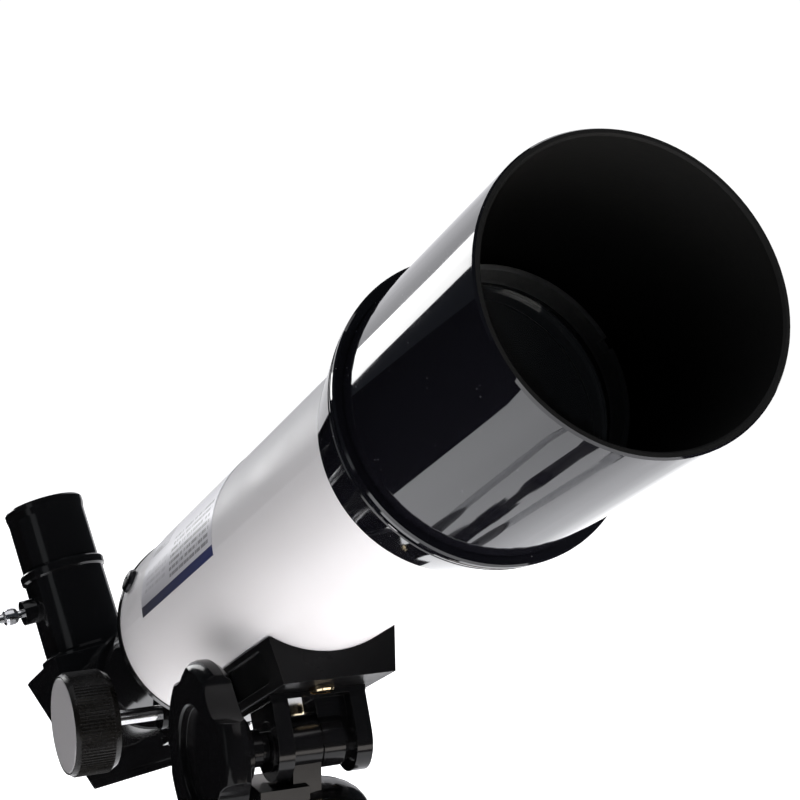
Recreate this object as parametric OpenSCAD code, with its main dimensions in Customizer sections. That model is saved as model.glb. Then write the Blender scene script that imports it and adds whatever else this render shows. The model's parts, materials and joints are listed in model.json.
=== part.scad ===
// A small refracting telescope on a folding table tripod.
// World frame: origin on the pan axis at table level, +Z up, +Y the way the tube points,
// +X to the right of a person at the eyepiece. Millimetres.

/* [Stance] */
// Angle of the tube above the horizon at rest
altitude = 26; // [10:1:40]
// Height of the tilt axis above the table
tilt_h = 300; // [296:1:320]
// Angle of each leg from the vertical
leg_spread = 23; // [20:1:25]

/* [Optical tube] */
// Height of the optical axis above the tilt axis
axis_h = 45; // [44.5:0.5:48]
// Distance from the tilt axis to the front rim of the dew shield
front_y = 189; // [180:1:200]
// Distance from the tilt axis to the rear edge of the main tube
tube_rear = 67; // [64:1:70]
// Outer radius of the main tube
tube_r = 27; // [26.8:0.1:27.2]
// Wall of the main tube
tube_wall = 0.9; // [0.8:0.1:1.1]
// Outer radius of the dew shield at its rim
shield_r = 30.8; // [30.6:0.1:31]
// Wall of the dew shield
shield_wall = 1.5; // [1.3:0.1:1.7]
// Depth from the shield rim to the front edge of the collar
shield_len = 64; // [60:1:68]
// Length of the tapered collar
collar_len = 22.2; // [21:0.1:24]
// Clear radius of the objective
aperture_r = 25; // [24.5:0.1:25.2]

/* [Focuser] */
// Roll of the focuser about the optical axis
focuser_turn = 1; // [-10:1:10]
// Distance from the tilt axis back to the focus shaft
shaft_back = 88; // [86:1:90]
// Distance from the optical axis down to the focus shaft
shaft_drop = 19.5; // [19.5:0.1:20]
// Outer radius of the drawtube
draw_r = 14.9; // [14.8:0.05:14.95]
// Radius of the focus knobs
knob_r = 14.9; // [12.5:0.1:15.5]
// Distance from the optical axis out to a knob's end face
knob_reach = 41.8; // [41.8:0.2:45]
// Number of ribs round a focus knob
knob_ribs = 90; // [24:2:96]

/* [Diagonal and eyepiece] */
// Roll of the diagonal in the drawtube at rest
diagonal_turn = 8; // [-30:1:30]
// Distance from the tilt axis back to the eyepiece axis
eye_back = 197; // [194:1:202]
// Height of the eyepiece top above the optical axis
eye_top = 74.5; // [72:0.5:78]
// Outer radius of the eyepiece barrel, for the 24.5 mm fitting
barrel_r = 12.25; // [12.2:0.05:12.3]

/* [Tripod] */
// Distance of each leg hinge from the pan axis
hinge_r = 24; // [24:1:27]
// Outer radius of the upper leg tubes
upper_r = 8; // [7.8:0.1:8.2]
// Outer radius of the lower leg tubes
lower_r = 6.5; // [6.2:0.1:6.6]
// Lobes of the tilt knob
tilt_lobes = 5; // [4:1:6]

/* [Hidden] */
$fn = 96;

// Gap of a part that turns or slides in another, on the radius
run_gap = 0.06;
// Gap between parts that are fastened together
seat_gap = 0.05;
// Extra length that makes a cut run past a face
past = 1;

// Stations along the tube, measured forward from the tilt axis
collar_front = front_y - shield_len;
collar_rear = collar_front - collar_len;
seat_y = collar_front - 10.1;
cell_face = front_y - 59;
tube_in = tube_r - tube_wall;
shield_in = shield_r - shield_wall;

// Saddle and tilt bracket, heights from the optical axis
saddle_top = -22;
saddle_low = -33.7;
saddle_half = 22;
plate_top = saddle_low - seat_gap;
plate_t = 1.45;
plate_low = plate_top - plate_t;
plate_rear = -21;
ear_t = 4.2;
ear_r = 8.6;
saddle_screw_y = 17.5;
saddle_screw_r = 1.45;
bracket_screw_r = 2;

// Tilt pivot, stations along +X: the lug of the head turns between a boss on the -X ear
// and the +X ear, with a thin washer on each side
boss_end = 0.9;
washer_t = 0.4;
lug_in = boss_end + washer_t + 0.1;
lug_out = 8.8;
right_ear = lug_out + washer_t + 0.1;
left_ear = -11.2;
lug_r = 6.7;
lug_half = 5.5;
bolt_r = 3;
bolt_end = 29.2;
bolt_head = 3.6;
bracket_screw_x = 1.3;
// Stations of the two bracket screws along the tube: clear of the plate in front, and through it
bracket_screw_front = 11.8;
bracket_screw_rear = -12;

// Recess in each flank of the saddle
flank_lean = 9.7;
flank_x = 15.5;
flank_z = -28;
recess_depth = 1.2;
recess_low = -3.6;
recess_high = 4.6;
recess_half = 15;
recess_r = 3.4;

// Tilt knob, stations out along +X
tilt_knob_nose = right_ear + ear_t + washer_t + 0.1;
tilt_knob_back = 24.5;
tilt_knob_face = 32.5;
tilt_knob_r = 23;

// Rack and pinion: a stub tooth form with 20 degree flanks
tooth_module = 0.8;
pinion_teeth = 10;
pitch_r = tooth_module * pinion_teeth / 2;
tooth_pitch = PI * tooth_module;
pressure = 20;
backlash = 0.14;
rack_addendum = 0.42;
rack_dedendum = 0.95;
pinion_addendum = 0.75;
pinion_root = 0.9;
shaft_r = 2.1;
rack_line = -shaft_drop + pitch_r;
rack_half = 3;
rack_base = rack_line + rack_dedendum + 1.15;
rack_front = -58;
rack_rear = -119;
// Depth of the flat on which the rack is bedded
rack_seat = -rack_base + 0.05;
rack_slope = tan(pressure);
rack_tooth_half = tooth_pitch / 4 - backlash / 4;

// Involute flank of the pinion, from the base circle out to the tip
base_r = pitch_r * cos(pressure);
function roll(r) = sqrt(max(r * r / (base_r * base_r) - 1, 0));
function inv_deg(r) = roll(r) * 180 / PI - atan(roll(r));
half_tooth = 90 / pinion_teeth - backlash / 2 / pitch_r * 180 / PI + inv_deg(pitch_r);
flank_radii = [for (i = [0 : 4]) base_r + (pitch_r + pinion_addendum - base_r) * i / 4];

function flank(side) = [for (r = flank_radii)
    let (a = side * (half_tooth - inv_deg(r))) [r * cos(a), r * sin(a)]];

// Doublet: a front lens curved out on both sides, a thin ring, and a rear lens
lens_r = 25.8;
crown_vertex = cell_face + 1.2;
crown_front = 220;
crown_rear = 160;
flint_front = 163;
crown_back_vertex = crown_vertex - 6.6;
flint_seat = seat_y + 7.1;

// Drawtube and focuser body stations
draw_front = -42;
draw_rear = -156;
draw_in = 12.6;
draw_collar_front = -138;
draw_collar_r = 17;
body_rear = -111;
body_r = 18.5;
flange_r = 27.3;
block_half = 11;
block_low = -25.5;
cover_low = -27.6;
cover_screw_off = 8;
focuser_screw_angles = [30, 150, 270];
focuser_screw_y = -tube_rear + 6;
focuser_screw_r = 1.4;
draw_screw_y = -147;
draw_screw_angle = -145;
draw_screw_r = 1.2;
disc_r = knob_r - 1.45;

// Diagonal: a wedge housing whose back face lies at 45 degrees
wedge_front = -179.5;
wedge_low = -26;
wedge_top = 19.5;
wedge_rear = wedge_front - (wedge_top - wedge_low);
wedge_half = 16;
wedge_wall = 2;
// Depth of the cover plate, measured along Z
cover_set = 2.9;
// Gap between the prism and the pad that presses it home, measured along Y
pad_gap = 0.15;
pad_half = 9;
prism_leg = 12.5;
light_r = 10.6;
holder_r = 13.75;
holder_top = 51.8;
holder_screw_z = 39.4;
holder_screw_r = 1.4;
socket_r = barrel_r + run_gap;

// Turret of the head, and the thumbscrew that locks its turning
turret_low = 262;
turret_r = 14.4;
turret_foot = 17;
shoulder_r = 12;
shoulder_z = tilt_h - 22.5;
pad_top = tilt_h - 9;
clamp_z = tilt_h - 27;
clamp_r = 2;
pan_r = 4;

// Tripod stations
hub_top = 261.9;
hub_low = 226;
hub_r = 13;
hinge_h = 238;
cheek_r = 6;
cheek_in = 5.3;
cheek_out = 9.3;
tongue_half = 5;
pin_r = 2;
pin_head = 1.2;
sleeve_top = -15;
sleeve_low = -42;
upper_low = -178;
collar_low = -191;
lower_top = -60;
leg_len = hinge_h / cos(leg_spread);
foot_top = -leg_len + 30;

// ---- Frames ----
module at_tilt() {
    translate([0, 0, tilt_h]) rotate([altitude, 0, 0]) children();
}

module on_tube() {
    at_tilt() translate([0, 0, axis_h]) children();
}

module on_focuser() {
    on_tube() rotate([0, focuser_turn, 0]) children();
}

module on_diagonal() {
    on_focuser() rotate([0, diagonal_turn, 0]) children();
}

// Upright frame on the eyepiece axis, with its height measured from the optical axis
module on_eyepiece() {
    on_diagonal() translate([0, -eye_back, 0]) children();
}

// Leg frame: origin on the hinge, -Z down the leg, +X outwards; leg 1 points forward
module on_leg(i) {
    rotate([0, 0, 90 + 120 * (i - 1)])
        translate([hinge_r, 0, hinge_h])
            rotate([0, -leg_spread, 0]) children();
}

// ---- Shared shapes ----
// Points [radius, station] turned about the Y axis
module lathe_y(points) {
    rotate([-90, 0, 0]) rotate_extrude() polygon(points);
}

// Points [radius, station] turned about the X axis
module lathe_x(points) {
    rotate([0, 90, 0]) rotate_extrude() polygon(points);
}

module rod_y(r, from, to) {
    translate([0, from, 0]) rotate([-90, 0, 0]) cylinder(r = r, h = to - from);
}

module rod_x(r, from, to) {
    translate([from, 0, 0]) rotate([0, 90, 0]) cylinder(r = r, h = to - from);
}

module rod_z(r, from, to) {
    translate([0, 0, from]) cylinder(r = r, h = to - from);
}

module ring_y(r_out, r_in, from, to) {
    difference() {
        rod_y(r_out, from, to);
        rod_y(r_in, from - past, to + past);
    }
}

// Box between two corners
module box(low, high) {
    translate(low) cube(high - low);
}

// Rectangle with round corners, between two opposite corners
module round_rect(left, low, right, high, r) {
    translate([left + r, low]) square([right - left - 2 * r, high - low]);
    translate([left, low + r]) square([right - left, high - low - 2 * r]);
    for (x = [left + r, right - r]) for (y = [low + r, high - r])
        translate([x, y]) circle(r);
}

// Outline [y, z] extruded across X, the same on both sides
module slab_x(points, half) {
    translate([-half, 0, 0]) rotate([90, 0, 90]) linear_extrude(2 * half) polygon(points);
}

// Stations of a shallow spherical face, from the axis out to radius r
function dish(r, curve, vertex, n) =
    [for (i = [0 : n]) let (x = r * i / n) [x, vertex + curve - sign(curve) * sqrt(curve * curve - x * x)]];

// A pan head screw along -Z with its seat at z = 0 and a cross recess
module pan_screw(head_r, head_h, shank_r, length) {
    difference() {
        rotate_extrude() polygon([[0, 0.02], [head_r, 0.02], [head_r, head_h * 0.45],
            [head_r * 0.8, head_h * 0.85], [head_r * 0.5, head_h], [0, head_h]]);
        for (a = [0, 90])
            rotate([0, 0, a]) box([-head_r * 0.55, -0.3, head_h * 0.5], [head_r * 0.55, 0.3, head_h + past]);
    }
    rod_z(shank_r, -length, 0.1);
}

// A thumbscrew along +Z: tip at z = tip, knurled head from z = neck to z = top
module thumbscrew(shank, tip, neck, head_r, top) {
    rod_z(shank, tip, neck + 0.5);
    difference() {
        rotate_extrude() polygon([[0, neck], [head_r - 0.5, neck], [head_r, neck + 0.5],
            [head_r, top - 0.5], [head_r - 0.5, top], [0, top]]);
        for (a = [0 : 20 : 340])
            rotate([0, 0, a]) translate([head_r + 0.25, 0, neck - past]) cylinder(r = 0.5, h = top - neck + 2 * past, $fn = 4);
    }
}

// ---- Tripod hub and head ----
module hub() {
    color("#1b1c1f")
    difference() {
        union() {
            rotate_extrude() polygon([[0, hub_low], [hub_r - 1.5, hub_low], [hub_r, hub_low + 1.5],
                [hub_r, hub_top - 12], [hub_r + 3, hub_top - 9], [hub_r + 4, hub_top - 7],
                [hub_r + 4, hub_top - 1], [hub_r + 3, hub_top], [0, hub_top]]);
            for (i = [1 : 3]) rotate([0, 0, 90 + 120 * (i - 1)])
                for (side = [-1, 1]) hub_cheek(side);
        }
        rod_z(pan_r + seat_gap, hub_low - past, hub_top + past);
        for (i = [1 : 3]) rotate([0, 0, 90 + 120 * (i - 1)])
            translate([hinge_r, 0, hinge_h]) rod_y(pin_r + seat_gap, -cheek_out - past, cheek_out + past);
    }
}

// One of the two cheeks that hold a leg hinge, with its web to the hub
module hub_cheek(side) {
    mid = side * (cheek_in + cheek_out) / 2;
    half = (cheek_out - cheek_in) / 2;
    translate([0, mid - half, 0]) {
        box([8, 0, hinge_h - cheek_r], [hinge_r, 2 * half, hinge_h + cheek_r]);
        box([8, 0, hinge_h + cheek_r - past], [18, 2 * half, hinge_h + cheek_r + 8]);
        translate([hinge_r, 0, hinge_h]) rod_y(cheek_r, 0, 2 * half);
    }
}

module leg_pins() {
    color("#b9bcc0")
    for (i = [1 : 3]) rotate([0, 0, 90 + 120 * (i - 1)])
        translate([hinge_r, 0, hinge_h]) {
            rod_y(pin_r, -cheek_out - pin_head, cheek_out + pin_head);
            for (side = [0, 180]) rotate([0, 0, side])
                rod_y(1.7 * pin_r, cheek_out + seat_gap, cheek_out + seat_gap + pin_head);
        }
}

module pan_bolt() {
    color("#9a9da1") {
        rod_z(pan_r, hub_low - 4, tilt_h - 17);
        translate([0, 0, hub_low - 5.2]) cylinder(r = 7, h = 5, $fn = 6);
    }
}

module head_post() {
    color("#17181a")
    difference() {
        union() {
            // lug and neck
            translate([0, 0, tilt_h]) rod_x(lug_r, lug_in, lug_out);
            box([lug_in, -lug_half, shoulder_z], [lug_out, lug_half, tilt_h]);
            // turret with a domed shoulder
            rotate_extrude() polygon(concat(
                [[0, turret_low], [turret_foot - 0.8, turret_low], [turret_foot, turret_low + 0.8],
                    [turret_foot, turret_low + 4], [turret_r, turret_low + 6.5], [turret_r, shoulder_z]],
                [for (a = [10 : 10 : 80])
                    [turret_r - shoulder_r + shoulder_r * cos(a), shoulder_z + shoulder_r * sin(a)]],
                [[0, shoulder_z + shoulder_r]]));
            // square boss under the knob
            box([5, -7, turret_low + 4], [17.8, 7, pad_top]);
        }
        translate([0, 0, tilt_h]) rod_x(bolt_r + run_gap, -20, 20);
        rod_z(pan_r + run_gap, turret_low - past, tilt_h - 16);
        translate([0, 0, clamp_z]) rod_y(clamp_r + run_gap, -20, 0);
    }
}

module pan_lock_knob() {
    color("#141517")
    translate([0, 0, clamp_z]) rotate([90, 0, 0])
        thumbscrew(clamp_r, pan_r + 0.4, 17.6, 8, 29);
}

// ---- Tilt bracket, bolt and knob ----
// Ear of the bracket from one station to the other along X
module ear(from) {
    translate([0, 0, -axis_h]) rod_x(ear_r, from, from + ear_t);
    box([from, -ear_r, -axis_h], [from + ear_t, ear_r, plate_low + 0.5]);
}

module tilt_bracket() {
    color("#1a1b1d")
    on_tube()
    difference() {
        union() {
            box([left_ear - 0.2, plate_rear, plate_low], [right_ear + ear_t + 0.4, ear_r, plate_top]);
            ear(left_ear);
            ear(right_ear);
            // boss on the inner side of the ear, with a waist, and the web above it
            translate([0, 0, -axis_h]) lathe_x([[0, left_ear + 1], [5.2, left_ear + 1],
                [5.2, left_ear + ear_t + 1], [6.3, left_ear + ear_t + 1.6], [lug_r, left_ear + ear_t + 2.6],
                [lug_r, boss_end], [0, boss_end]]);
            box([left_ear + 1, -4.5, -axis_h], [boss_end, 4.5, plate_low + 0.5]);
        }
        translate([0, 0, -axis_h]) {
            rod_x(bolt_r + seat_gap, -20, 20);
            // hexagon pocket for the head of the bolt
            translate([left_ear - past, 0, 0]) rotate([0, 90, 0])
                cylinder(r = 5.8, h = bolt_head + 0.15 + past, $fn = 6);
        }
        translate([bracket_screw_x, bracket_screw_rear, 0]) rod_z(bracket_screw_r + seat_gap, -50, 0);
    }
}

module tilt_bolt() {
    color("#a9abae")
    at_tilt() {
        rod_x(bolt_r, left_ear + 1, bolt_end);
        translate([left_ear + 0.1, 0, 0]) rotate([0, 90, 0]) cylinder(r = 5.7, h = bolt_head, $fn = 6);
    }
}

module tilt_washers() {
    color("#1c1c1e")
    at_tilt()
    for (from = [boss_end + 0.05, lug_out + 0.05, right_ear + ear_t + 0.05])
        difference() {
            rod_x(6.2, from, from + washer_t);
            rod_x(bolt_r + seat_gap, from - past, from + 2);
        }
}

// Slotted brass screws: the rear one holds the bracket plate, the front one is in the saddle alone
module bracket_screws() {
    color("#d9b45a")
    on_tube()
    for (screw = [[bracket_screw_front, saddle_low - seat_gap], [bracket_screw_rear, plate_low]])
        translate([bracket_screw_x, screw[0], screw[1]]) {
            difference() {
                rotate_extrude() polygon([[0, -0.02], [3.15, -0.02], [3.15, -0.9], [2.9, -1.35],
                    [2.2, -1.6], [0, -1.7]]);
                box([-5, -0.4, -3], [5, 0.4, -1]);
            }
            rod_z(bracket_screw_r, -0.1, -28.6 - screw[1]);
        }
}

module tilt_knob() {
    color("#131416")
    at_tilt()
    difference() {
        lathe_x([[0, tilt_knob_nose], [3.8, tilt_knob_nose], [3.8, 15.9], [4.6, 15.9], [4.6, 19],
            [8, 19.4], [9.5, tilt_knob_back - 1], [18, tilt_knob_back],
            [tilt_knob_r - 1.4, tilt_knob_back + 0.8], [tilt_knob_r, tilt_knob_back + 2.6],
            [tilt_knob_r, tilt_knob_face - 3.4], [tilt_knob_r - 0.5, tilt_knob_face - 1.8],
            [tilt_knob_r - 1.6, tilt_knob_face - 0.6], [tilt_knob_r - 3.2, tilt_knob_face],
            [12.8, tilt_knob_face], [12.2, tilt_knob_face - 0.5], [11.9, tilt_knob_face - 2.3],
            [0, tilt_knob_face - 2.5]]);
        // scallops between the lobes
        for (i = [0 : tilt_lobes - 1]) rotate([360 / tilt_lobes * i + 9, 0, 0])
            translate([0, 0, tilt_knob_r + 6.5]) rod_x(10.5, tilt_knob_back - 8, tilt_knob_face + past);
        rod_x(bolt_r + run_gap, 0, bolt_end + 0.2);
    }
}

// ---- Saddle ----
module saddle_block() {
    color("#161719")
    on_tube()
    difference() {
        translate([0, saddle_half, 0]) rotate([90, 0, 0]) linear_extrude(2 * saddle_half)
            polygon([[-14.5, saddle_low], [14.5, saddle_low], [16.5, saddle_top], [-16.5, saddle_top]]);
        rod_y(tube_r + seat_gap, -40, 40);
        for (y = [bracket_screw_front, bracket_screw_rear])
            translate([bracket_screw_x, y, 0]) rod_z(bracket_screw_r + seat_gap, -50, -28.2);
        for (y = [-saddle_screw_y, saddle_screw_y])
            translate([0, y, 0]) rod_z(saddle_screw_r + seat_gap, -31.5, 0);
        for (side = [-1, 1]) saddle_recess(side);
    }
}

// Shallow pocket with round corners moulded in each flank of the saddle
module saddle_recess(side) {
    translate([side * flank_x, 0, flank_z]) rotate([0, side * flank_lean, 0])
        translate([side > 0 ? -recess_depth : -past, 0, 0]) rotate([90, 0, 90])
            linear_extrude(recess_depth + past)
                round_rect(-recess_half, recess_low, recess_half, recess_high, recess_r);
}

module saddle_screws() {
    color("#8f9296")
    on_tube()
    for (y = [-saddle_screw_y, saddle_screw_y]) translate([0, y, -tube_in + 0.35])
        pan_screw(2.8, 1.7, saddle_screw_r, 5);
}

// ---- Main tube ----
// Radial places of the three screws that hold the focuser in the tube
module at_focuser_screws() {
    for (a = focuser_screw_angles)
        rotate([0, -a, 0]) translate([0, focuser_screw_y, 0]) rotate([0, 90, 0]) children();
}

module main_tube() {
    color("#f2f3f5")
    difference() {
        on_tube() difference() {
            ring_y(tube_r, tube_in, -tube_rear, seat_y - 0.1);
            for (y = [-saddle_screw_y, saddle_screw_y])
                translate([0, y, 0]) rod_z(saddle_screw_r + seat_gap, -tube_r - 2, -tube_in + 2);
        }
        on_focuser() at_focuser_screws() rod_z(focuser_screw_r + seat_gap, 20, 30);
    }
}

module tube_baffles() {
    color("#0d0d0e")
    on_tube()
    for (b = [[62, 22.4], [0, 19.4]])
        lathe_y([[b[1], b[0]], [tube_in - seat_gap, b[0]], [tube_in - seat_gap, b[0] + 5],
            [tube_in - 0.9, b[0] + 5], [tube_in - 0.9, b[0] + 1], [b[1], b[0] + 1]]);
}

// Printed label wrapped on the user's right side of the tube
module tube_label() {
    color("#cfd2da")
    on_tube() intersection() {
        ring_y(tube_r + 0.2, tube_r + 0.02, -43.5, 22.3);
        rotate([90, 0, 0]) translate([0, 0, -40]) linear_extrude(100)
            polygon([[0, 0], for (a = [-2, 20, 45, 76]) [40 * cos(a), 40 * sin(a)]]);
    }
}

// ---- Objective ----
module objective_collar() {
    color("#0e0e10")
    on_tube()
    lathe_y([[tube_r + seat_gap, collar_rear], [28.1, collar_rear], [28.35, collar_rear + 0.4],
        [32.3, collar_front - 4.4], [32, collar_front - 4.1], [32, collar_front - 3.6],
        [32.45, collar_front - 3.3], [32.6, collar_front - 2.6], [32.2, collar_front - 2.3],
        [32.2, collar_front - 1.9], [32.75, collar_front - 1.5], [32.8, collar_front - 0.5],
        [32.4, collar_front], [shield_r, collar_front], [shield_r, seat_y],
        [tube_r + seat_gap, seat_y]]);
}

module dew_shield() {
    color("#101012")
    on_tube()
    lathe_y([[shield_in + 0.3, seat_y + 0.1], [shield_r - 0.1, seat_y + 0.1], [shield_r, front_y - 0.6],
        [shield_r - 0.35, front_y], [shield_in + 0.4, front_y], [shield_in, front_y - 0.5],
        [shield_in, front_y - 53], [shield_in + 0.3, front_y - 53.6]]);
}

module lens_cell() {
    color("#121213")
    on_tube()
    lathe_y([[aperture_r, seat_y + 3], [shield_in + 0.25, seat_y + 0.2],
        [shield_in + 0.25, cell_face - 2], [28.4, cell_face - 1.6], [27.6, cell_face - 0.1],
        [25.95, cell_face - 0.1], [25.95, seat_y + 7], [aperture_r, seat_y + 7]]);
}

module retaining_ring() {
    color("#1c1c1e")
    on_tube() difference() {
        lathe_y([[aperture_r, cell_face], [27.4, cell_face], [27.5, cell_face + 3.8],
            [27.1, cell_face + 4.3], [26, cell_face + 4.3], [25.3, cell_face + 0.6]]);
        for (a = [20, 200]) rotate([0, a, 0])
            box([20, cell_face + 2.6, -1.2], [30, cell_face + 6, 1.2]);
    }
}

module crown_lens() {
    color([0.75, 0.85, 0.9, 0.4])
    on_tube()
    lathe_y(concat(dish(lens_r, -crown_front, crown_vertex, 10),
        [for (i = [10 : -1 : 0]) dish(lens_r, crown_rear, crown_back_vertex, 10)[i]]));
}

module flint_lens() {
    color([0.75, 0.85, 0.9, 0.4])
    on_tube()
    lathe_y(concat([[0, flint_seat], [lens_r, flint_seat]],
        [for (i = [10 : -1 : 0]) dish(lens_r, flint_front, crown_back_vertex - 0.35, 10)[i]]));
}

module lens_spacer() {
    color("#3a3a3c")
    on_tube() {
        edge = crown_back_vertex + crown_rear - sqrt(crown_rear * crown_rear - lens_r * lens_r);
        ring_y(lens_r, 25.3, edge - 0.28, edge - 0.12);
    }
}

// ---- Focuser ----
module focuser_body() {
    color("#121315")
    on_focuser()
    difference() {
        union() {
            lathe_y([[0, body_rear], [17.4, body_rear], [body_r, body_rear + 1], [body_r, -84],
                [19.5, -81], [flange_r - 1.7, -tube_rear - 4.4], [flange_r, -tube_rear - 2.6],
                [flange_r, -tube_rear - 0.1], [tube_in - seat_gap, -tube_rear - 0.1],
                [tube_in - seat_gap, -52], [0, -52]]);
            // block that carries the pinion and the short shaft bosses
            box([-block_half, -shaft_back - block_half, block_low], [block_half, -shaft_back + block_half, -12]);
            translate([0, -shaft_back, -shaft_drop]) rod_x(5, -14, 14);
        }
        rod_y(draw_r + run_gap, body_rear - past, -70);
        lathe_y([[0, -80], [draw_r, -80], [23, -72], [23, -51], [0, -51]]);
        // groove for the rack and pocket for the pinion
        box([-rack_half - 0.4, body_rear - past, rack_line - 1.6], [rack_half + 0.4, -60, 0]);
        translate([0, -shaft_back, -shaft_drop]) rod_x(pitch_r + 1.3, -5.2, 5.2);
        box([-5.2, -shaft_back - 5.3, block_low - past], [5.2, -shaft_back + 5.3, -shaft_drop]);
        translate([0, -shaft_back, -shaft_drop]) rod_x(shaft_r + run_gap, -20, 20);
        at_focuser_screws() rod_z(focuser_screw_r + seat_gap, 20, 30);
        at_cover_screws() rod_z(1, -30, -21.8);
    }
}

module focuser_screws() {
    color("#1d1d1f")
    on_focuser() at_focuser_screws() translate([0, 0, tube_r + 0.12]) pan_screw(3.4, 1.9, focuser_screw_r, 3.6);
}

// Places of the four screws of the pinion cover
module at_cover_screws() {
    for (x = [-cover_screw_off, cover_screw_off]) for (y = [-cover_screw_off, cover_screw_off])
        translate([x, y - shaft_back, 0]) children();
}

module pinion_cover() {
    color("#17181a")
    on_focuser() difference() {
        box([-block_half, -shaft_back - block_half, cover_low],
            [block_half, -shaft_back + block_half, block_low - seat_gap]);
        at_cover_screws() rod_z(1.1, cover_low - past, block_low + past);
    }
}

module cover_screws() {
    color("#8f9296")
    on_focuser() at_cover_screws()
        translate([0, 0, cover_low - 0.02]) rotate([180, 0, 0]) pan_screw(2, 1.2, 0.95, 5.4);
}

// Frame on the focus shaft
module on_shaft() {
    on_focuser() translate([0, -shaft_back, -shaft_drop]) children();
}

module focus_shaft() {
    color("#d7d9db")
    on_shaft() rod_x(shaft_r, -knob_reach + 3, knob_reach - 3);
}

module focus_pinion() {
    color("#c9a24a")
    on_shaft()
    difference() {
        rotate([0, 90, 0]) translate([0, 0, -4.4]) linear_extrude(8.8) {
            circle(r = pitch_r - pinion_root);
            for (i = [0 : pinion_teeth - 1]) rotate(360 / pinion_teeth * (i + 0.5))
                polygon(concat([[1, -0.6]], flank(-1), [for (k = [4 : -1 : 0]) flank(1)[k]], [[1, 0.6]]));
        }
        rod_x(shaft_r + 0.01, -6, 6);
    }
}

// Knob body from its inboard end at x = 0 outwards, with axial ribs and a socket for the disc
module focus_knob() {
    inboard = knob_reach - 14.3;
    rib_r = 0.32;
    difference() {
        lathe_x([[0, inboard], [9, inboard], [knob_r - 1.6, inboard + 1.2], [knob_r - 0.5, inboard + 3],
            [knob_r - 0.5, knob_reach - 1.2], [knob_r - 1.1, knob_reach], [0, knob_reach]]);
        rod_x(disc_r + seat_gap, knob_reach - 0.9, knob_reach + past);
        rod_x(shaft_r + 0.01, inboard - past, knob_reach - 2.9);
    }
    for (i = [0 : knob_ribs - 1]) rotate([360 / knob_ribs * i, 0, 0])
        translate([0, 0, knob_r - 0.5]) rod_x_square(rib_r, inboard + 3.2, knob_reach - 1.4);
}

// A thin rib of diamond section along X
module rod_x_square(r, from, to) {
    translate([from, 0, 0]) rotate([0, 90, 0]) cylinder(r = r, h = to - from, $fn = 4);
}

module focus_knob_right() {
    color("#101113") on_shaft() focus_knob();
}

module focus_knob_left() {
    color("#101113") on_shaft() rotate([0, 0, 180]) focus_knob();
}

module knob_discs() {
    color("#a6a8ad")
    on_shaft() for (side = [0, 180]) rotate([0, 0, side])
        lathe_x([[0, knob_reach - 0.85], [disc_r, knob_reach - 0.85], [disc_r, knob_reach - 0.15],
            [disc_r - 0.35, knob_reach + 0.1], [0, knob_reach + 0.1]]);
}

// Radial place of the thumbscrew that holds the diagonal
module at_draw_screw() {
    rotate([0, draw_screw_angle, 0]) translate([0, draw_screw_y, 0]) rotate([0, 90, 0]) children();
}

module drawtube() {
    color("#1a1b1d")
    on_focuser()
    difference() {
        lathe_y([[draw_in, draw_front], [draw_r, draw_front], [draw_r, draw_collar_front],
            [draw_collar_r - 0.6, draw_collar_front], [draw_collar_r, draw_collar_front - 0.6],
            [draw_collar_r, draw_rear + 0.6], [draw_collar_r - 0.6, draw_rear], [socket_r, draw_rear],
            [socket_r, -128], [draw_in, -127]]);
        box([-rack_half - seat_gap, rack_rear - 0.1, -20], [rack_half + seat_gap, rack_front + 0.1, -rack_seat]);
        at_draw_screw() rod_z(draw_screw_r + run_gap, 10, 20);
    }
}

module focus_rack() {
    color("#1f2022")
    on_focuser() {
        box([-rack_half, rack_rear, rack_line + rack_dedendum - 0.02], [rack_half, rack_front, rack_base - 0.1]);
        first = ceil((rack_rear + 1.3 + shaft_back) / tooth_pitch);
        last = floor((rack_front - 1.3 + shaft_back) / tooth_pitch);
        for (n = [first : last]) {
            y = -shaft_back + n * tooth_pitch;
            root = rack_tooth_half + rack_dedendum * rack_slope;
            tip = rack_tooth_half - rack_addendum * rack_slope;
            slab_x([[y - root, rack_line + rack_dedendum], [y - tip, rack_line - rack_addendum],
                [y + tip, rack_line - rack_addendum], [y + root, rack_line + rack_dedendum]], rack_half);
        }
    }
}

module drawtube_thumbscrew() {
    color("#cfd1d4")
    on_focuser() at_draw_screw() thumbscrew(draw_screw_r, barrel_r + 0.35, 19, 3.6, 25);
}

// ---- Diagonal ----
module diagonal_body() {
    color("#151618")
    on_diagonal()
    difference() {
        union() {
            lathe_y([[0, wedge_front - 1], [15.4, wedge_front - 1], [15.4, draw_rear - 7],
                [14.2, draw_rear - 1.2], [14.2, draw_rear - 0.15], [barrel_r, draw_rear - 0.15],
                [barrel_r, -129.4], [barrel_r - 0.4, -129], [0, -129]]);
            slab_x([[wedge_front, wedge_low + 0.2], [wedge_front, wedge_top],
                [wedge_rear + 0.2, wedge_top]], wedge_half);
        }
        rod_y(light_r, wedge_front - 6, -120);
        slab_x([[wedge_front - wedge_wall, wedge_low - 9], [wedge_front - wedge_wall, wedge_top - wedge_wall],
            [wedge_rear - 9, wedge_top - wedge_wall], [wedge_rear - 9, wedge_low - 9]], wedge_half - wedge_wall);
        // seat for the 45 degree cover plate
        slab_x([[wedge_front + 3, wedge_low + cover_set - 3], [wedge_rear - 3, wedge_top + cover_set + 3],
            [wedge_rear - 20, wedge_low - 20]], wedge_half + past);
        translate([0, -eye_back, 0]) rod_z(10.8, 12, wedge_top + past);
    }
}

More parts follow.
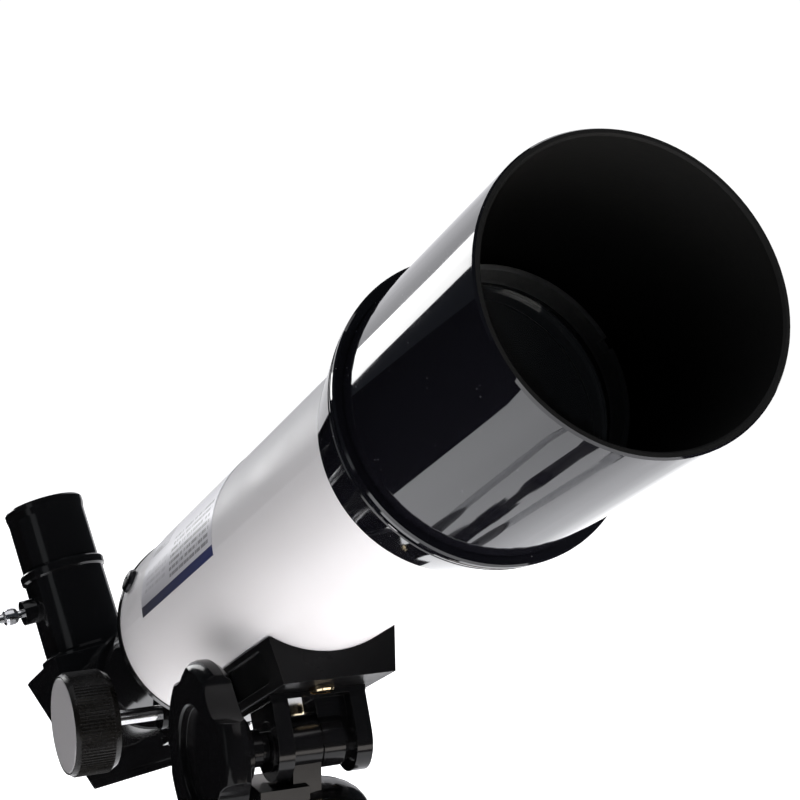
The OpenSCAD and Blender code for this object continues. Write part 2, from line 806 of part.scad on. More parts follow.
module diagonal_cover() {
    color("#1b1c1e")
    on_diagonal() {
        slab_x([[wedge_front, wedge_low], [wedge_front, wedge_low + cover_set - 0.07],
            [wedge_rear - 0.07 + cover_set, wedge_top], [wedge_rear, wedge_top]], wedge_half);
        // pad that presses the prism home: it stands on the inner face of the plate
        pad_foot = wedge_front + wedge_low + cover_set - 0.57;
        slab_x([[-eye_back - pad_gap + 8, -8], [-eye_back - pad_gap - 8, 8],
            [(pad_foot - eye_back - pad_gap - 16) / 2, (pad_foot + eye_back + pad_gap + 16) / 2],
            [(pad_foot - eye_back - pad_gap + 16) / 2, (pad_foot + eye_back + pad_gap - 16) / 2]], pad_half);
    }
}

module prism() {
    color([0.8, 0.88, 0.9, 0.4])
    on_eyepiece()
    slab_x([[prism_leg, -prism_leg], [prism_leg, prism_leg], [-prism_leg, prism_leg]], prism_leg);
}

module eyepiece_holder() {
    color("#141517")
    on_eyepiece()
    difference() {
        union() {
            rotate_extrude() polygon([[socket_r, wedge_top + 0.05], [15.6, wedge_top + 0.05],
                [15.6, wedge_top + 1.6], [holder_r, wedge_top + 2.6], [holder_r - 0.1, holder_top - 3.4],
                [14.5, holder_top - 2.8], [14.6, holder_top - 0.5], [14.2, holder_top],
                [socket_r, holder_top]]);
            translate([0, 0, holder_screw_z]) rod_x(4.2, socket_r + 0.6, 17.6);
        }
        translate([0, 0, holder_screw_z]) rod_x(holder_screw_r + run_gap, 8, 30);
    }
}

module holder_thumbscrew() {
    color("#d9dbdd")
    on_eyepiece() translate([0, 0, holder_screw_z]) rotate([0, 90, 0]) {
        thumbscrew(holder_screw_r, barrel_r + 0.35, 28.5, 4.4, 34);
        rotate_extrude() polygon([[0, 19.4], [1.6, 19.4], [2.6, 20], [2.9, 21], [2.9, 23], [2.6, 24],
            [1.7, 24.6], [1.7, 28.9], [0, 28.9]]);
    }
}

// ---- Eyepiece ----
module eyepiece_barrel() {
    color("#b5b7ba")
    on_eyepiece()
    rotate_extrude() polygon([[11.2, 26], [barrel_r - 0.3, 26], [barrel_r, 26.4], [barrel_r, holder_top + 0.4],
        [11.55, holder_top + 0.4], [11.55, 61], [10.7, 61], [10.7, 57], [11.2, 55]]);
}

module eyepiece_body() {
    color("#0f1011")
    on_eyepiece()
    rotate_extrude() polygon([[11.6, holder_top + 0.45], [12.9, holder_top + 0.45],
        [13.2, holder_top + 0.8], [13.2, eye_top - 4.5],
        [13.6, eye_top - 2.2], [13.6, eye_top - 0.7], [13, eye_top], [10.6, eye_top],
        [9.2, eye_top - 3.6], [6, eye_top - 4.8], [5, eye_top - 4.9], [5, eye_top - 6],
        [6.6, eye_top - 6], [6.6, eye_top - 9.5], [8.5, eye_top - 12], [11.6, eye_top - 12]]);
}

module eye_lens() {
    color([0.75, 0.8, 0.95, 0.4])
    on_eyepiece()
    rotate_extrude() polygon(concat([[0, eye_top - 6.05], [6.5, eye_top - 6.05], [6.5, eye_top - 7]],
        [for (i = [7 : -1 : 0]) dish(6.4, 14, eye_top - 8.6, 7)[i]]));
}

module field_lens() {
    color([0.75, 0.8, 0.95, 0.4])
    on_eyepiece()
    rotate_extrude() polygon(concat([[0, 34], [11.1, 34], [11.1, 33]],
        [for (i = [8 : -1 : 0]) dish(11, 34, 31.2, 8)[i]]));
}

module field_stop() {
    color("#0d0d0e")
    on_eyepiece()
    difference() {
        rod_z(11.15, 45, 46);
        rod_z(7.5, 44, 47);
    }
}

// ---- Legs ----
module leg_bracket(i) {
    color("#191a1c")
    on_leg(i)
    difference() {
        union() {
            rod_y(cheek_r, -tongue_half, tongue_half);
            box([-5.2, -tongue_half, sleeve_top - 1], [5.2, tongue_half, 0]);
            rotate_extrude() polygon([[0, sleeve_low], [9.2, sleeve_low], [9.6, sleeve_low + 0.6],
                [9.6, sleeve_low + 3], [9.2, sleeve_low + 3.4], [9.2, sleeve_top - 2],
                [7.4, sleeve_top], [0, sleeve_top]]);
        }
        rod_y(pin_r + run_gap, -tongue_half - past, tongue_half + past);
        rod_z(upper_r + seat_gap, sleeve_low - past, sleeve_top - 4);
    }
}

module upper_tube(i) {
    color("#c9ccd0")
    on_leg(i) difference() {
        rod_z(upper_r, upper_low, sleeve_top - 4.1);
        rod_z(upper_r - 0.9, upper_low - past, sleeve_top);
    }
}

module lock_collar(i) {
    color("#18191b")
    on_leg(i)
    difference() {
        union() {
            rotate_extrude() polygon([[0, collar_low], [8.2, collar_low], [9.2, collar_low + 1.4],
                [9.8, collar_low + 3], [9.8, upper_low + 9], [9, upper_low + 11], [0, upper_low + 11]]);
            for (a = [0 : 18 : 342]) rotate([0, 0, a])
                translate([9.7, 0, collar_low + 3.4]) cylinder(r = 0.7, h = 17.4, $fn = 4);
        }
        rod_z(upper_r + run_gap, upper_low - 0.3, 0);
        rod_z(lower_r + run_gap, -250, 0);
    }
}

module lower_tube(i) {
    color("#d2d5d8")
    on_leg(i) difference() {
        rod_z(lower_r, -leg_len + 14, lower_top);
        rod_z(lower_r - 0.8, -leg_len, lower_top + past);
    }
}

module foot(i) {
    color("#141414")
    difference() {
        on_leg(i) difference() {
            rotate_extrude() polygon([[0, -leg_len - 8], [9.4, -leg_len - 8], [9.4, -leg_len + 6],
                [8.6, -leg_len + 12], [8.2, foot_top - 1], [7.7, foot_top], [0, foot_top]]);
            rod_z(lower_r + seat_gap, -leg_len + 13.9, 0);
        }
        translate([-300, -300, -50]) cube([600, 600, 50]);
    }
}

// ---- Assembly ----
hub();
pan_bolt();
leg_pins();
head_post();
pan_lock_knob();
tilt_bracket();
tilt_bolt();
tilt_washers();
bracket_screws();
tilt_knob();
saddle_block();
saddle_screws();
main_tube();
tube_baffles();
tube_label();
objective_collar();
dew_shield();
lens_cell();
retaining_ring();
crown_lens();
flint_lens();
lens_spacer();
focuser_body();
focuser_screws();
pinion_cover();
cover_screws();
focus_shaft();
focus_pinion();
focus_knob_right();
focus_knob_left();
knob_discs();
drawtube();
focus_rack();
drawtube_thumbscrew();
diagonal_body();
diagonal_cover();
prism();
eyepiece_holder();
holder_thumbscrew();
eyepiece_barrel();
eyepiece_body();
eye_lens();
field_lens();
field_stop();
for (i = [1 : 3]) {
    leg_bracket(i);
    upper_tube(i);
    lock_collar(i);
    lower_tube(i);
    foot(i);
}
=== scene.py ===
"""The looks of a small refracting telescope on a table tripod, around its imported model.

Lengths are in metres. The tube frame used below has its origin on the optical axis above the
tilt axis: x to the user's right, y forward along the tube, z up and square to the tube.
"""
import json
from math import atan2, cos, pi, radians, sin

import bmesh
import bpy
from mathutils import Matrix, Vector


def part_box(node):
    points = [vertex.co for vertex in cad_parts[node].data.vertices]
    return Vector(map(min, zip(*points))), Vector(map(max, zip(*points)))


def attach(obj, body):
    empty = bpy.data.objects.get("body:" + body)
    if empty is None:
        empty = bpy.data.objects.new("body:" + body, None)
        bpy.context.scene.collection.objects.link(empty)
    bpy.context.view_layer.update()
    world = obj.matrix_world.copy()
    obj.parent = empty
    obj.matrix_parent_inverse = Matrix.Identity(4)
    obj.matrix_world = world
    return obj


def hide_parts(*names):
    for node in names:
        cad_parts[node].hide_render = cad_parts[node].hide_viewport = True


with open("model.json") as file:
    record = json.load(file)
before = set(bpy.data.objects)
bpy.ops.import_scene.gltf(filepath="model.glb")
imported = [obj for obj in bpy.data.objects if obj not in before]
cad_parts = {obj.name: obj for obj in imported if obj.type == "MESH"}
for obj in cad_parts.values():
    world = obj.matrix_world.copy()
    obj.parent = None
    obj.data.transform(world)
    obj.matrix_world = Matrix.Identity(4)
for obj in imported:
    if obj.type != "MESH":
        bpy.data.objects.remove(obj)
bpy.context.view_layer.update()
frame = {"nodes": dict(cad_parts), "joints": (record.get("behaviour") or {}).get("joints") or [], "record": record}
NODES = frame["nodes"]
JOINTS = {joint["name"]: joint for joint in frame["joints"]}
MOUNTS = {mount["name"]: mount for mount in frame["record"]["mounts"]}
BODY_OF = {node: body for body, nodes in frame["record"]["behaviour"]["bodies"].items() for node in nodes}

MM = 0.001
UP = Vector((0, 0, 1))
SIDE = Vector((1, 0, 0))
AHEAD = -Vector(JOINTS["focus_travel"]["axis"])
ABOVE = SIDE.cross(AHEAD)
TILT = atan2(AHEAD.z, AHEAD.y)
PIVOT = Vector(JOINTS["altitude"]["pos_m"])
MOUTH = Vector(MOUNTS["shield_mouth"]["pos_m"])
ON_AXIS = MOUTH - AHEAD * (MOUTH - PIVOT).dot(AHEAD)
MOUTH_DEPTH = 20 * MM
RIM = MOUTH + AHEAD * MOUTH_DEPTH
SHIELD_BORE = MOUNTS["shield_mouth"]["dims"]["r_mm"] * MM
TUBE_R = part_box("main_tube")[1][0]  # the tube's box reaches as far as its radius along x
LABEL_FRONT, LABEL_REAR = 22.3 * MM, -43.5 * MM


# ---- Node helpers ----
class Shader:
    """A Principled material and short calls that add nodes to it."""

    def __init__(self, name, color=(0.5, 0.5, 0.5), rough=0.5, metal=0.0, **sockets):
        self.material = bpy.data.materials.new(name)
        self.material.use_nodes = True
        self.tree = self.material.node_tree
        self.bsdf = self.tree.nodes["Principled BSDF"]
        self.set("Base Color", (*color, 1))
        self.set("Roughness", rough)
        self.set("Metallic", metal)
        for socket, value in sockets.items():
            self.set(socket.replace("_", " "), value)

    def set(self, socket, value):
        """Sets a socket of the shader to a plain value, or links it to a node's output."""
        target = self.bsdf.inputs[socket]
        if isinstance(value, bpy.types.NodeSocket):
            self.tree.links.new(value, target)
        else:
            target.default_value = value

    def node(self, kind, **inputs):
        """A new node. Inputs go by name, with _ for a space, or by number, such as i0."""
        made = self.tree.nodes.new(kind)
        for name, value in inputs.items():
            key = int(name[1:]) if name[0] == "i" and name[1:].isdigit() else name.replace("_", " ")
            if isinstance(value, bpy.types.NodeSocket):
                self.tree.links.new(value, made.inputs[key])
            else:
                made.inputs[key].default_value = value
        return made

    def place(self):
        """The point being shaded, in metres from the origin."""
        return self.node("ShaderNodeTexCoord").outputs["Object"]

    def math(self, what, a, b=0.0, clamp=False):
        """The output of a Math node."""
        made = self.node("ShaderNodeMath", i0=a, i1=b)
        made.operation = what
        made.use_clamp = clamp
        return made.outputs[0]

    def between(self, value, low, high):
        """1 where value lies between low and high, else 0."""
        return self.both(self.math("GREATER_THAN", value, low), self.math("LESS_THAN", value, high))

    def both(self, a, b):
        """The product of two shares."""
        return self.math("MULTIPLY", a, b)

    def noise(self, scale, detail=3.0, rough=0.55, where=None):
        """Noise between 0 and 1, about 0.5 on average."""
        made = self.node("ShaderNodeTexNoise", Vector=where or self.place(), Scale=scale, Detail=detail,
                         Roughness=rough)
        return made.outputs["Fac"]

    def stretch(self, where, scale):
        """A point with each coordinate multiplied, so that a small factor draws a texture out that way."""
        made = self.node("ShaderNodeVectorMath", i0=where, i1=scale)
        made.operation = "MULTIPLY"
        return made.outputs[0]

    def fit(self, value, low, high, new_low, new_high):
        """Maps low..high to new_low..new_high, clamped."""
        made = self.node("ShaderNodeMapRange", i0=value, i1=low, i2=high, i3=new_low, i4=new_high)
        return made.outputs[0]

    def mix(self, share, a, b):
        """A colour between a and b."""
        made = self.tree.nodes.new("ShaderNodeMix")
        made.data_type = "RGBA"
        for socket, value in ((made.inputs[0], share), (made.inputs[6], a), (made.inputs[7], b)):
            if isinstance(value, bpy.types.NodeSocket):
                self.tree.links.new(value, socket)
            else:
                socket.default_value = (*value, 1) if isinstance(value, tuple) else value
        return made.outputs[2]

    def bump(self, height, depth, strength=1.0):
        """Bumps the surface by a height from 0 to 1, which stands for this depth."""
        made = self.node("ShaderNodeBump", Height=height, Distance=depth, Strength=strength)
        self.set("Normal", made.outputs[0])

    def in_tube(self):
        """x, y, z and the distance from the optical axis, in the tube frame."""
        moved = self.node("ShaderNodeVectorMath", i0=self.place(), i1=ON_AXIS)
        moved.operation = "SUBTRACT"
        turned = self.node("ShaderNodeVectorRotate", Vector=moved.outputs[0], Angle=-TILT)
        turned.rotation_type = "X_AXIS"
        split = self.node("ShaderNodeSeparateXYZ", Vector=turned.outputs[0])
        x, y, z = split.outputs
        radius = self.math("SQRT", self.math("ADD", self.math("MULTIPLY", x, x), self.math("MULTIPLY", z, z)))
        return x, y, z, radius

    def edges(self, width):
        """1 along edges within this width, fading to 0: where a rounded normal turns from the flat one."""
        rounded = self.node("ShaderNodeBevel", Radius=width)
        flat = self.node("ShaderNodeNewGeometry").outputs["Normal"]
        alike = self.node("ShaderNodeVectorMath", i0=rounded.outputs[0], i1=flat)
        alike.operation = "DOT_PRODUCT"
        return self.fit(alike.outputs["Value"], 0.94, 0.995, 1, 0)

    def specks(self, scale, amount):
        """1 on round specks, such as dust, else 0."""
        made = self.node("ShaderNodeTexVoronoi", Vector=self.place(), Scale=scale)
        return self.math("LESS_THAN", made.outputs["Distance"], amount)


# ---- Materials ----
def enamel_white():
    """Enamel with a trace of orange peel and uneven polish, matt black inside the tube."""
    s = Shader("enamel_white", IOR=1.5, Specular_IOR_Level=0.2)
    inside = s.math("LESS_THAN", s.in_tube()[3], TUBE_R - 0.5 * MM)
    enamel = s.mix(s.fit(s.noise(14, 4), 0.35, 0.7, 0, 1), (0.76, 0.753, 0.772), (0.735, 0.73, 0.75))
    s.set("Base Color", s.mix(inside, enamel, (0.006, 0.006, 0.006)))
    polish = s.fit(s.noise(90, 4), 0.3, 0.75, 0.3, 0.4)
    s.set("Roughness", s.math("ADD", polish, s.math("MULTIPLY", inside, 0.6)))
    s.bump(s.noise(420, 2), 0.03 * MM, 0.35)
    return s.material


def gloss_black(name):
    """Polished black moulding: dust specks, faint wipe marks and a slow mould ripple."""
    s = Shader(name, IOR=1.75)
    dust = s.both(s.specks(620, 0.075), s.math("GREATER_THAN", s.noise(160, 2), 0.57))
    s.set("Base Color", s.mix(dust, (0.0045, 0.0045, 0.0065), (0.16, 0.16, 0.17)))
    wipes = s.noise(60, 5, 0.6, s.stretch(s.place(), (1.0, 0.25, 0.6)))
    s.set("Roughness", s.math("ADD", s.fit(wipes, 0.45, 0.8, 0.035, 0.085), s.math("MULTIPLY", dust, 0.4)))
    s.bump(s.noise(38, 1), 0.05 * MM, 0.25)
    return s.material


def matt_black(name, albedo, shine=0.35):
    """Stray light paint: a dry, slightly uneven coat."""
    s = Shader(name, rough=0.55, Specular_IOR_Level=shine)
    dark, pale = (0.8 * albedo,) * 3, (1.2 * albedo, 1.19 * albedo, 1.15 * albedo)
    s.set("Base Color", s.mix(s.noise(700, 3), dark, pale))
    s.bump(s.noise(1500, 3), 0.05 * MM, 0.5)
    return s.material


def moulded_black(name, tint=0.0042, rough=0.12, grain=0.1, shine=0.38):
    """Injection moulding: a fine mould texture, slow sink ripples, and edges rubbed a little paler."""
    s = Shader(name, IOR=1.5, Specular_IOR_Level=shine)
    rubbed = s.both(s.edges(0.35 * MM), s.fit(s.noise(90, 4), 0.4, 0.65, 0, 1))
    s.set("Base Color", s.mix(rubbed, (tint, tint, 1.1 * tint), (4 * tint, 3.9 * tint, 3.8 * tint)))
    s.set("Roughness", s.fit(s.noise(70, 5), 0.3, 0.75, 0.85 * rough, 1.5 * rough))
    fine = s.math("MULTIPLY", s.noise(2300, 2), 0.25)
    s.bump(s.math("ADD", fine, s.noise(55, 1)), 0.08 * MM, grain)
    return s.material


def ribbed_black():
    """Hard black knob moulding with a brown cast from dust in its grooves."""
    s = Shader("ribbed_black", IOR=1.5, Specular_IOR_Level=0.27)
    s.set("Base Color", s.mix(s.noise(300, 4), (0.004, 0.0039, 0.0037), (0.009, 0.008, 0.0066)))
    s.set("Roughness", s.fit(s.noise(500, 3), 0.3, 0.7, 0.2, 0.34))
    s.bump(s.noise(1800, 2), 0.03 * MM, 0.25)
    return s.material


def polished(name, color, rough, stretch=(1, 1, 1), grain=0.2):
    """Turned or plated metal, with fine tool marks along the stretched direction."""
    s = Shader(name, metal=1.0)
    marks = s.noise(900, 4, 0.6, s.stretch(s.place(), stretch))
    s.set("Base Color", s.mix(s.fit(marks, 0.3, 0.7, 0, 1), color, tuple(0.9 * c for c in color)))
    s.set("Roughness", s.fit(marks, 0.3, 0.75, rough * 0.8, rough * 1.5))
    s.bump(marks, 0.02 * MM, grain)
    return s.material


def spun_disc(center, axis):
    """Grey anodised disc, with fine rings turned about its centre."""
    s = Shader("spun_disc", rough=0.4, metal=0.25)
    away = s.node("ShaderNodeVectorMath", i0=s.place(), i1=center)
    away.operation = "SUBTRACT"
    across = s.node("ShaderNodeVectorMath", i0=away.outputs[0], i1=axis)
    across.operation = "CROSS_PRODUCT"
    radius = s.node("ShaderNodeVectorMath", i0=across.outputs[0])
    radius.operation = "LENGTH"
    outward = s.node("ShaderNodeCombineXYZ", X=radius.outputs["Value"])
    rings = s.noise(5200, 2, 0.5, outward.outputs[0])
    s.set("Base Color", s.mix(rings, (0.49, 0.485, 0.505), (0.56, 0.555, 0.575)))
    s.set("Roughness", s.fit(rings, 0.3, 0.7, 0.34, 0.46))
    s.bump(rings, 0.01 * MM, 0.3)
    return s.material


def coated_glass(name, tint):
    """Polished glass with a trace of dust."""
    s = Shader(name, tint, 0.0, Transmission_Weight=0.975, IOR=1.52)
    s.set("Roughness", s.fit(s.noise(120, 4), 0.62, 0.9, 0.002, 0.03))
    return s.material


def printed_label():
    """Silver film with a dark blue band and rows of short bars, which stand for print and spell nothing.

    around is the way round the tube from its right side, and along goes from 0 at the film's rear to 1.
    """
    s = Shader("printed_label", rough=0.3, metal=0.15, Coat_Weight=0.3, Coat_Roughness=0.08)
    band_width, first_row, row_pitch, last_row, code_end = (mm * MM for mm in (1.7, 2.6, 1.75, 15, 21.5))
    bars_per_m, ticks_per_m = 800.0, 1100.0
    x, y, z, radius = s.in_tube()
    around = s.math("MULTIPLY", s.math("ARCTAN2", z, x), radius)
    along = s.fit(y, LABEL_REAR, LABEL_FRONT, 0, 1)
    band = s.math("LESS_THAN", around, band_width)

    # Rows of bars in front, fainter ones behind, and a block of ticks above those
    row = s.math("DIVIDE", s.math("SUBTRACT", around, first_row), row_pitch)
    in_row = s.between(s.math("FRACT", row), 0.2, 0.72)
    row_seed = s.math("MULTIPLY", s.math("FLOOR", row), 7.31)
    spread = s.node("ShaderNodeCombineXYZ", X=s.math("MULTIPLY", y, bars_per_m), Y=row_seed)
    bars = s.both(in_row, s.math("GREATER_THAN", s.noise(1.0, 2, 0.6, spread.outputs[0]), 0.44))
    ticks = s.math("GREATER_THAN", s.math("FRACT", s.math("MULTIPLY", y, ticks_per_m)), 0.4)
    main_rows = s.both(s.between(along, 0.42, 0.96), s.between(around, first_row, last_row))
    faint_rows = s.both(s.between(along, 0.06, 0.36), s.between(around, 4.4 * MM, 11.4 * MM))
    code = s.both(s.between(along, 0.05, 0.3), s.between(around, last_row, code_end))
    dark = s.math("ADD", s.both(bars, main_rows), s.math("MULTIPLY", s.both(bars, faint_rows), 0.3))
    dark = s.math("ADD", dark, s.both(code, ticks), True)

    film = s.mix(s.noise(260, 3), (0.80, 0.80, 0.86), (0.85, 0.85, 0.905))
    # Painted shade: the film is darkened towards its rear end and next to the band
    painted_rear_shade = s.both(s.math("SUBTRACT", 1.0, along), s.fit(around, band_width, 6 * MM, 0.55, 0))
    inked = s.mix(dark, s.mix(painted_rear_shade, film, (0.22, 0.22, 0.25)), (0.3, 0.3, 0.33))
    s.set("Base Color", s.mix(band, inked, s.mix(along, (0.06, 0.062, 0.085), (0.045, 0.057, 0.175))))
    s.bump(s.noise(600, 2), 0.02 * MM, 0.2)
    return s.material


def foot_rubber():
    """Dull rubber, dusty in patches."""
    s = Shader("foot_rubber", rough=0.7, Sheen_Weight=0.15)
    s.set("Base Color", s.mix(s.noise(220, 4), (0.014, 0.014, 0.0145), (0.034, 0.033, 0.031)))
    s.bump(s.noise(1300, 3), 0.06 * MM, 0.5)
    return s.material


# ---- Pieces ----
def soften(node, width, segments=3, crease=28):
    """A copy of a CAD node with its sharp edges rounded, which stands for the node."""
    mesh = bpy.data.meshes.new(node + "_soft")
    solid = bmesh.new()
    solid.from_mesh(NODES[node].data)
    bmesh.ops.remove_doubles(solid, verts=solid.verts, dist=2e-6)
    bmesh.ops.dissolve_limit(solid, angle_limit=radians(0.6), verts=solid.verts, edges=solid.edges)
    solid.to_mesh(mesh)
    solid.free()
    mesh.materials.clear()
    piece = bpy.data.objects.new(node + "_soft", mesh)
    bpy.context.scene.collection.objects.link(piece)
    for name in ("custom_normal", "sharp_face"):
        if name in mesh.attributes:
            mesh.attributes.remove(mesh.attributes[name])
    mesh.shade_smooth()
    mesh.set_sharp_from_angle(angle=radians(crease))
    if width:
        bevel = piece.modifiers.new("round", "BEVEL")
        bevel.width = width
        bevel.segments = segments
        bevel.limit_method = "ANGLE"
        bevel.angle_limit = radians(crease)
        bevel.use_clamp_overlap = True
        bevel.miter_outer = "MITER_ARC"
    flat = piece.modifiers.new("flat", "WEIGHTED_NORMAL")
    flat.keep_sharp = True
    flat.weight = 80
    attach(piece, BODY_OF[node])
    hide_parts(node)
    return piece


def from_axis(point):
    """The vector to a point from the nearest place on the optical axis."""
    outward = point - ON_AXIS
    return outward - AHEAD * outward.dot(AHEAD)


def paint(thing, material):
    """Gives a CAD node or a piece one material."""
    target = NODES[thing] if isinstance(thing, str) else thing
    target.data.materials.clear()
    target.data.materials.append(material)


# ---- Finishes ----
knob_axis = Vector(JOINTS["focus_turn"]["axis"])
knob_center = Vector(JOINTS["focus_turn"]["pos_m"])

white = enamel_white()
shield = gloss_black("shield_black")
shield_lining = matt_black("shield_lining", 0.012, 0.2)
trim = gloss_black("trim_black")
stray_light_paint = matt_black("stray_light_paint", 0.006)
# The cell and its retaining ring get a much paler copy of the matt black paint: painted light, standing in for
# light on their faces deep in the shield
cell_paint_painted_light = matt_black("cell_paint_painted_light", 0.2)
moulded = moulded_black("moulded_black")
glossy = moulded_black("glossy_black", 0.004, 0.1, 0.08, 0.45)
knob_black = moulded_black("knob_black", 0.004, 0.13, 0.05, 0.2)
saddle_black = moulded_black("saddle_black", 0.004, 0.3, 0.12, 0.12)
leg_black = moulded_black("leg_black", 0.010, 0.3, 0.5)
ribbed = ribbed_black()
chrome = polished("chrome", (0.9, 0.9, 0.91), 0.16, (1, 6, 6))
zinc = polished("zinc_plate", (0.62, 0.63, 0.64), 0.24)
aluminium = polished("leg_aluminium", (0.62, 0.625, 0.64), 0.26, (8, 8, 0.6), 0.15)
brass = polished("brass", (0.98, 0.80, 0.52), 0.14)
dark_screw = polished("dark_screw", (0.05, 0.05, 0.054), 0.3)
disc = spun_disc(knob_center, knob_axis)
objective_glass = coated_glass("objective_glass", (0.95, 0.945, 0.93))
eyepiece_glass = coated_glass("eyepiece_glass", (0.97, 0.98, 1.0))
label = printed_label()
rubber = foot_rubber()

LEGS = (1, 2, 3)
PAINTED = {
    white: ["main_tube"],
    trim: ["objective_collar"],
    stray_light_paint: ["tube_baffles", "lens_spacer", "field_stop"],
    cell_paint_painted_light: ["lens_cell", "retaining_ring"],
    glossy: ["eyepiece_body", "drawtube"],
    moulded: ["focus_rack", "tilt_washers"],
    chrome: ["drawtube_thumbscrew", "holder_thumbscrew", "focus_shaft", "eyepiece_barrel"],
    zinc: ["tilt_bolt", "pan_bolt", "leg_pins", "cover_screws", "saddle_screws"],
    dark_screw: ["focuser_screws"],
    brass: ["bracket_screws", "focus_pinion"],
    disc: ["knob_discs"],
    eyepiece_glass: ["prism"],
    aluminium: [f"{name}_{leg}" for name in ("upper_tube", "lower_tube") for leg in LEGS],
    rubber: [f"foot_{leg}" for leg in LEGS],
}
for material, names in PAINTED.items():
    for name in names:
        paint(name, material)

# Width of the rounded edges, in millimetres
SOFTENED = {
    moulded: {"head_post": 0.6, "tilt_bracket": 0.5, "pinion_cover": 1.2,
              "diagonal_cover": 0.4, "hub": 0.5, "pan_lock_knob": 0.25},
    leg_black: {**{f"leg_bracket_{leg}": 0.4 for leg in LEGS}, **{f"lock_collar_{leg}": 0.2 for leg in LEGS}},
    glossy: {"focuser_body": 0.35, "diagonal_body": 0.5, "eyepiece_holder": 0.25},
    knob_black: {"tilt_knob": 1.1},
    saddle_black: {"saddle_block": 0.45},
    ribbed: {"focus_knob_right": 0.1, "focus_knob_left": 0.1},
    objective_glass: {"crown_lens": 0, "flint_lens": 0},
    eyepiece_glass: {"eye_lens": 0, "field_lens": 0},
}
for material, widths in SOFTENED.items():
    for name, width in widths.items():
        paint(soften(name, width * MM), material)

# The label's film is thinner than its CAD solid
FILM = 0.1 * MM
film = soften("tube_label", 0)
paint(film, label)
for vertex in film.data.vertices:
    outward = from_axis(vertex.co)
    if outward.length > TUBE_R + FILM:
        vertex.co -= outward.normalized() * (outward.length - TUBE_R - FILM)

# The shield is gloss outside and on its rim, and matt on the faces of its bore
BORE_MARGIN = 0.35 * MM
outer_shield = soften("dew_shield", 0)
paint(outer_shield, shield)
outer_shield.data.materials.append(shield_lining)
for face in outer_shield.data.polygons:
    face.material_index = int(from_axis(face.center).length < SHIELD_BORE + BORE_MARGIN)

# ---- Stage ----
FLOOR_RADIUS = 4.0
FLOOR_SIDES = 96
GLOW_START, GLOW_END = 0.45, 0.95


def card(name, corners):
    """A flat card through these corners."""
    mesh = bpy.data.meshes.new(name)
    mesh.from_pydata([tuple(corner) for corner in corners], [], [tuple(range(len(corners)))])
    thing = bpy.data.objects.new(name, mesh)
    bpy.context.scene.collection.objects.link(thing)
    return thing


# The floor glows more away from the object, and so is an even white there
angles = [2 * pi * i / FLOOR_SIDES for i in range(FLOOR_SIDES)]
floor = card("floor", [(FLOOR_RADIUS * cos(angle), FLOOR_RADIUS * sin(angle), 0) for angle in angles])
pale = Shader("pale_floor", rough=0.6)
pale.set("Base Color", pale.mix(pale.noise(3, 2), (0.87, 0.87, 0.87), (0.84, 0.84, 0.845)))
pale.set("Emission Color", (1, 1, 1, 1))
from_middle = pale.node("ShaderNodeVectorMath", i0=pale.place())
from_middle.operation = "LENGTH"
glow = pale.fit(from_middle.outputs["Value"], GLOW_START, GLOW_END, 0.12, 1.0)
pale.set("Emission Strength", glow)
paint(floor, pale.material)

# Black cloths on the floor on two sides of the stand. No camera ray sees them, so they show only in
# reflections, and the rear one also keeps light from the floor off the object.
CLOTH_EDGE = 0.36
CLOTH_REACH = 4.3
cloth_black = Shader("cloth", (0.002, 0.002, 0.003), 0.9, Specular_IOR_Level=0.0).material
lift = UP * 2 * MM
for side, turn in (("rear", -1), ("front", 1)):
    toward = Vector((-turn, turn, 0)).normalized()
    half_width = toward.cross(UP) * CLOTH_REACH
    near, far = toward * CLOTH_EDGE + lift, toward * CLOTH_REACH + lift
    cloth = card("cloth_" + side, [near + half_width, far + half_width, far - half_width, near - half_width])
    paint(cloth, cloth_black)
    for ray in ("visible_camera", "visible_shadow", "visible_transmission"):
        setattr(cloth, ray, False)
    cloth.visible_diffuse = side == "rear"


def softbox(name, place, aim, size, radiance, tint=(1, 1, 1)):
    """A rectangular light of the given size and surface brightness, hidden from the camera."""
    lamp = bpy.data.lights.new(name, "AREA")
    lamp.shape = "RECTANGLE"
    lamp.size, lamp.size_y = size
    lamp.energy = radiance * pi * size[0] * size[1]
    lamp.color = tint
    box = bpy.data.objects.new(name, lamp)
    box.location = place
    box.rotation_euler = (Vector(aim) - Vector(place)).to_track_quat("-Z", "Y").to_euler()
    box.visible_camera = False
    bpy.context.scene.collection.objects.link(box)
    return box


def from_rim(azimuth, elevation, distance):
    """A place seen from the shield's rim; azimuth turns from +Y towards +X."""
    a, e = radians(azimuth), radians(elevation)
    return RIM + distance * Vector((sin(a) * cos(e), cos(a) * cos(e), sin(e)))


HEAD = (0, 0, 0.33)
WINDOW = (1.6, 0.7, 0.75)
COOL = (0.96, 0.965, 1.0)
softbox("strip", from_rim(169.5, 12, 1.5), RIM, (0.31, 0.95), 4.5)
softbox("back_wall", from_rim(-163.5, 12, 1.9), RIM, (1.48, 1.5), 0.85, (0.97, 0.965, 1.0))
softbox("overhead", (0.1, 0.0, 1.75), (0, 0, 0.35), (1.5, 1.5), 0.72, COOL)
softbox("front_band", (-0.26, 0.44, 0.06), (0, 0, 0.3), (0.7, 0.14), 2.2, (1.0, 0.94, 0.89))
softbox("left_window", WINDOW, HEAD, (0.5, 1.1), 0.35, (0.93, 0.96, 1.0))
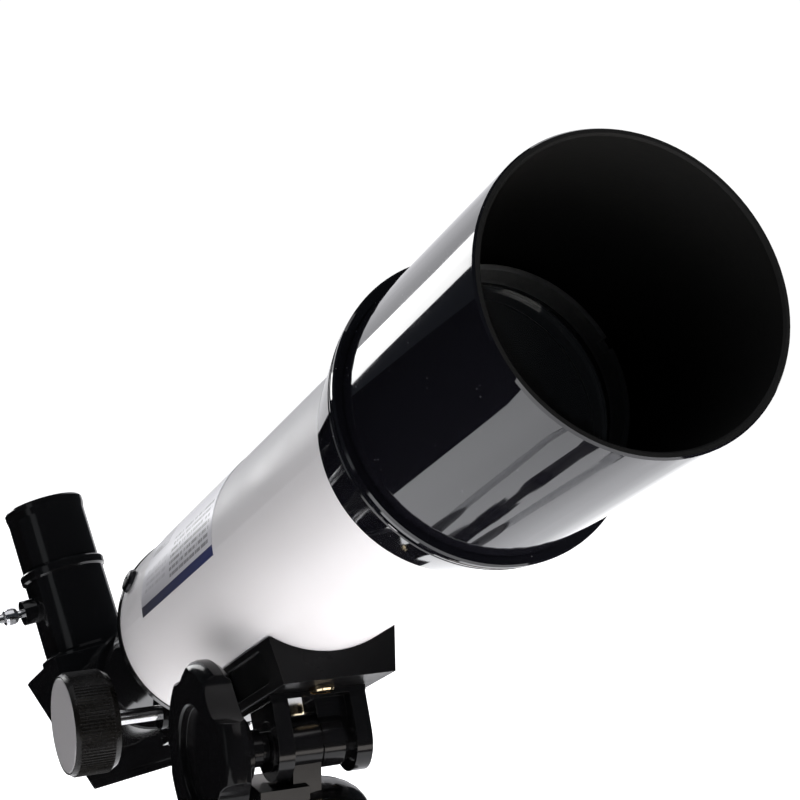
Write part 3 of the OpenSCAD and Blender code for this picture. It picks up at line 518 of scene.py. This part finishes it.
# Fills that light surfaces but show in no reflection: up from the floor, into the shield, and beside it
up_fill = softbox("up_fill", (-0.1, 0.1, 0.004), (-0.1, 0.1, 1), (1.3, 1.3), 1.05, (1.0, 0.925, 0.87))
mouth_fill = softbox("mouth_fill", RIM + AHEAD * 1.3 - SIDE * 0.7 - ABOVE * 0.25, RIM, (0.6, 0.6), 5.2)
side_fill = softbox("side_fill", WINDOW, HEAD, (0.7, 1.1), 0.22)
for fill in (up_fill, mouth_fill, side_fill):
    fill.visible_glossy = fill.visible_transmission = False

# A wash from above that only the floor takes, so that it is white where the object casts no shadow on it
floor_wash = softbox("floor_wash", (0, 0, 1.6), (0, 0, 0), (1.4, 1.4), 5.4, COOL)
floor_only = bpy.data.collections.new("floor_only")
floor_only.objects.link(floor)
floor_wash.light_linking.receiver_collection = floor_only

# A white backdrop for the camera, and a dim room for every other ray
world = bpy.data.worlds.new("studio")
bpy.context.scene.world = world
world.use_nodes = True
sky = world.node_tree
sky.nodes.clear()


def background(color, strength):
    made = sky.nodes.new("ShaderNodeBackground")
    made.inputs["Color"].default_value = (*color, 1)
    made.inputs["Strength"].default_value = strength
    return made.outputs[0]


paths = sky.nodes.new("ShaderNodeLightPath")
pick = sky.nodes.new("ShaderNodeMixShader")
surface = sky.nodes.new("ShaderNodeOutputWorld")
sky.links.new(paths.outputs["Is Camera Ray"], pick.inputs[0])
sky.links.new(background((0.75, 0.85, 1.0), 0.035), pick.inputs[1])
sky.links.new(background((1, 1, 1), 1.05), pick.inputs[2])
sky.links.new(pick.outputs[0], surface.inputs["Surface"])
bpy.context.scene.view_settings.view_transform = "Standard"

# ---- Camera ----
CAMERA_FROM_RIM = Vector((0.1779, 0.2985, 0.0279))
CAMERA_TURN = radians(24.04)
CAMERA_DIP = radians(7.79)
SENSOR_WIDTH_MM = 36
FOCAL_LENGTH_MM = 90.3
lens = bpy.data.cameras.new("camera")
lens.sensor_width = SENSOR_WIDTH_MM
lens.lens = FOCAL_LENGTH_MM
lens.clip_start = 10 * MM
camera = bpy.data.objects.new("camera", lens)
camera.location = RIM + CAMERA_FROM_RIM
looking = Vector((-sin(CAMERA_TURN) * cos(CAMERA_DIP), -cos(CAMERA_TURN) * cos(CAMERA_DIP), -sin(CAMERA_DIP)))
camera.rotation_euler = looking.to_track_quat("-Z", "Y").to_euler()
bpy.context.scene.collection.objects.link(camera)
bpy.context.scene.camera = camera
